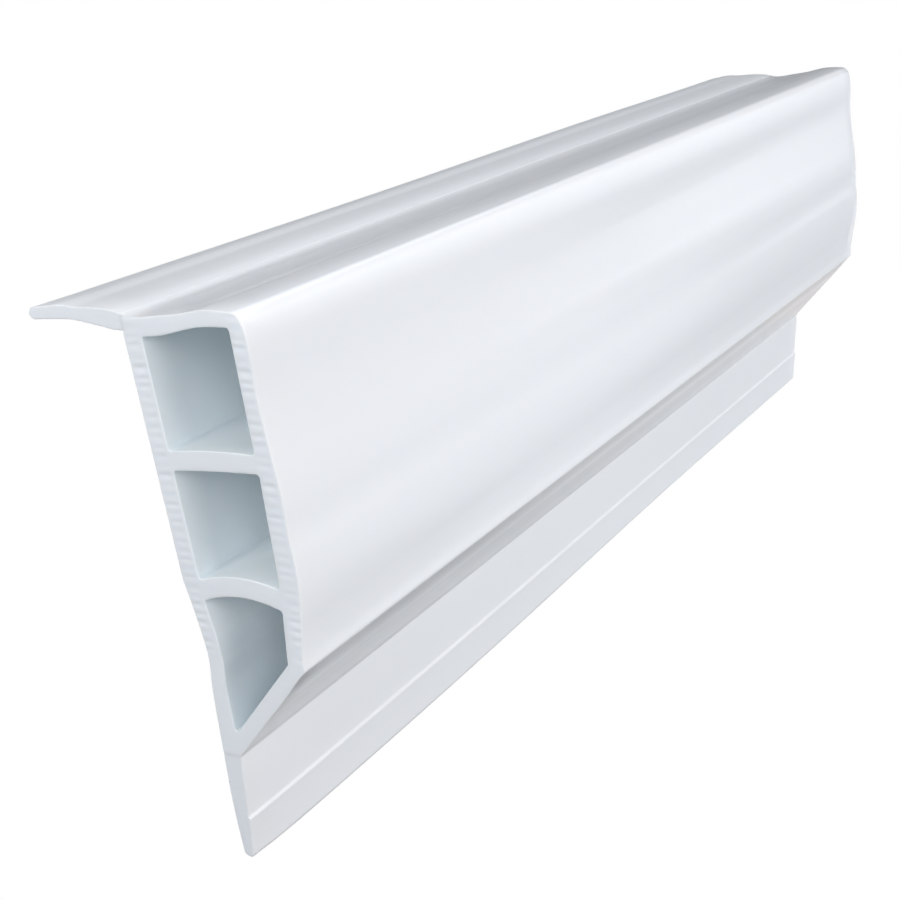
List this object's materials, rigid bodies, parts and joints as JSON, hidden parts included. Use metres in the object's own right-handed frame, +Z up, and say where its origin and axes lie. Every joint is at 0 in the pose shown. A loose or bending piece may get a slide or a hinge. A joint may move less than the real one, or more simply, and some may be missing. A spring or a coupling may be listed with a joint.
{
  "type": "door sweep",
  "caption": "Hollow three-chamber door sweep rail with a rolled front, a soft top lip and a soft beaded fin that wipes the floor.",
  "frame": {"origin": "on the rail's flat back face, which lies against the door, halfway along the length and level with the upper web", "axes": "+X along the length, +Y out of the flat back face towards the door, +Z up from the sweep fin to the top lip"},
  "size_m": [0.15, 0.0247, 0.0551],
  "materials": {
    "stiff_pvc": "semi-gloss extruded white",
    "soft_pvc_lip": "satin flexible white",
    "soft_pvc_fin": "satin flexible white"
  },
  "bodies": {
    "rail": {"rail": "stiff_pvc"},
    "lip_root": {"top_lip_root": "soft_pvc_lip"},
    "lip_blade": {"top_lip_blade": "soft_pvc_lip"},
    "fin_root": {"sweep_fin_root": "soft_pvc_fin"},
    "fin_blade": {"sweep_fin_blade": "soft_pvc_fin"}
  },
  "joints": [
    {"name": "lip_root_flex", "type": "hinge", "parent": "rail", "child": "lip_root", "pos_m": [0, 0.00095, 0.0113], "axis": [1, 0, 0], "range_deg": [-20, 35], "stiffness_Nm_per_rad": 0.2},
    {"name": "lip_blade_flex", "type": "hinge", "parent": "lip_root", "child": "lip_blade", "pos_m": [0, 0.00685, 0.0122], "axis": [1, 0, 0], "range_deg": [-25, 40], "stiffness_Nm_per_rad": 0.1},
    {"name": "fin_root_flex", "type": "hinge", "parent": "rail", "child": "fin_root", "pos_m": [0, -0.00087, -0.0316], "axis": [1, 0, 0], "range_deg": [-25, 25], "stiffness_Nm_per_rad": 0.35},
    {"name": "fin_blade_flex", "type": "hinge", "parent": "fin_root", "child": "fin_blade", "pos_m": [0, -0.00018, -0.0389], "axis": [1, 0, 0], "range_deg": [-35, 35], "stiffness_Nm_per_rad": 0.12}
  ]
}
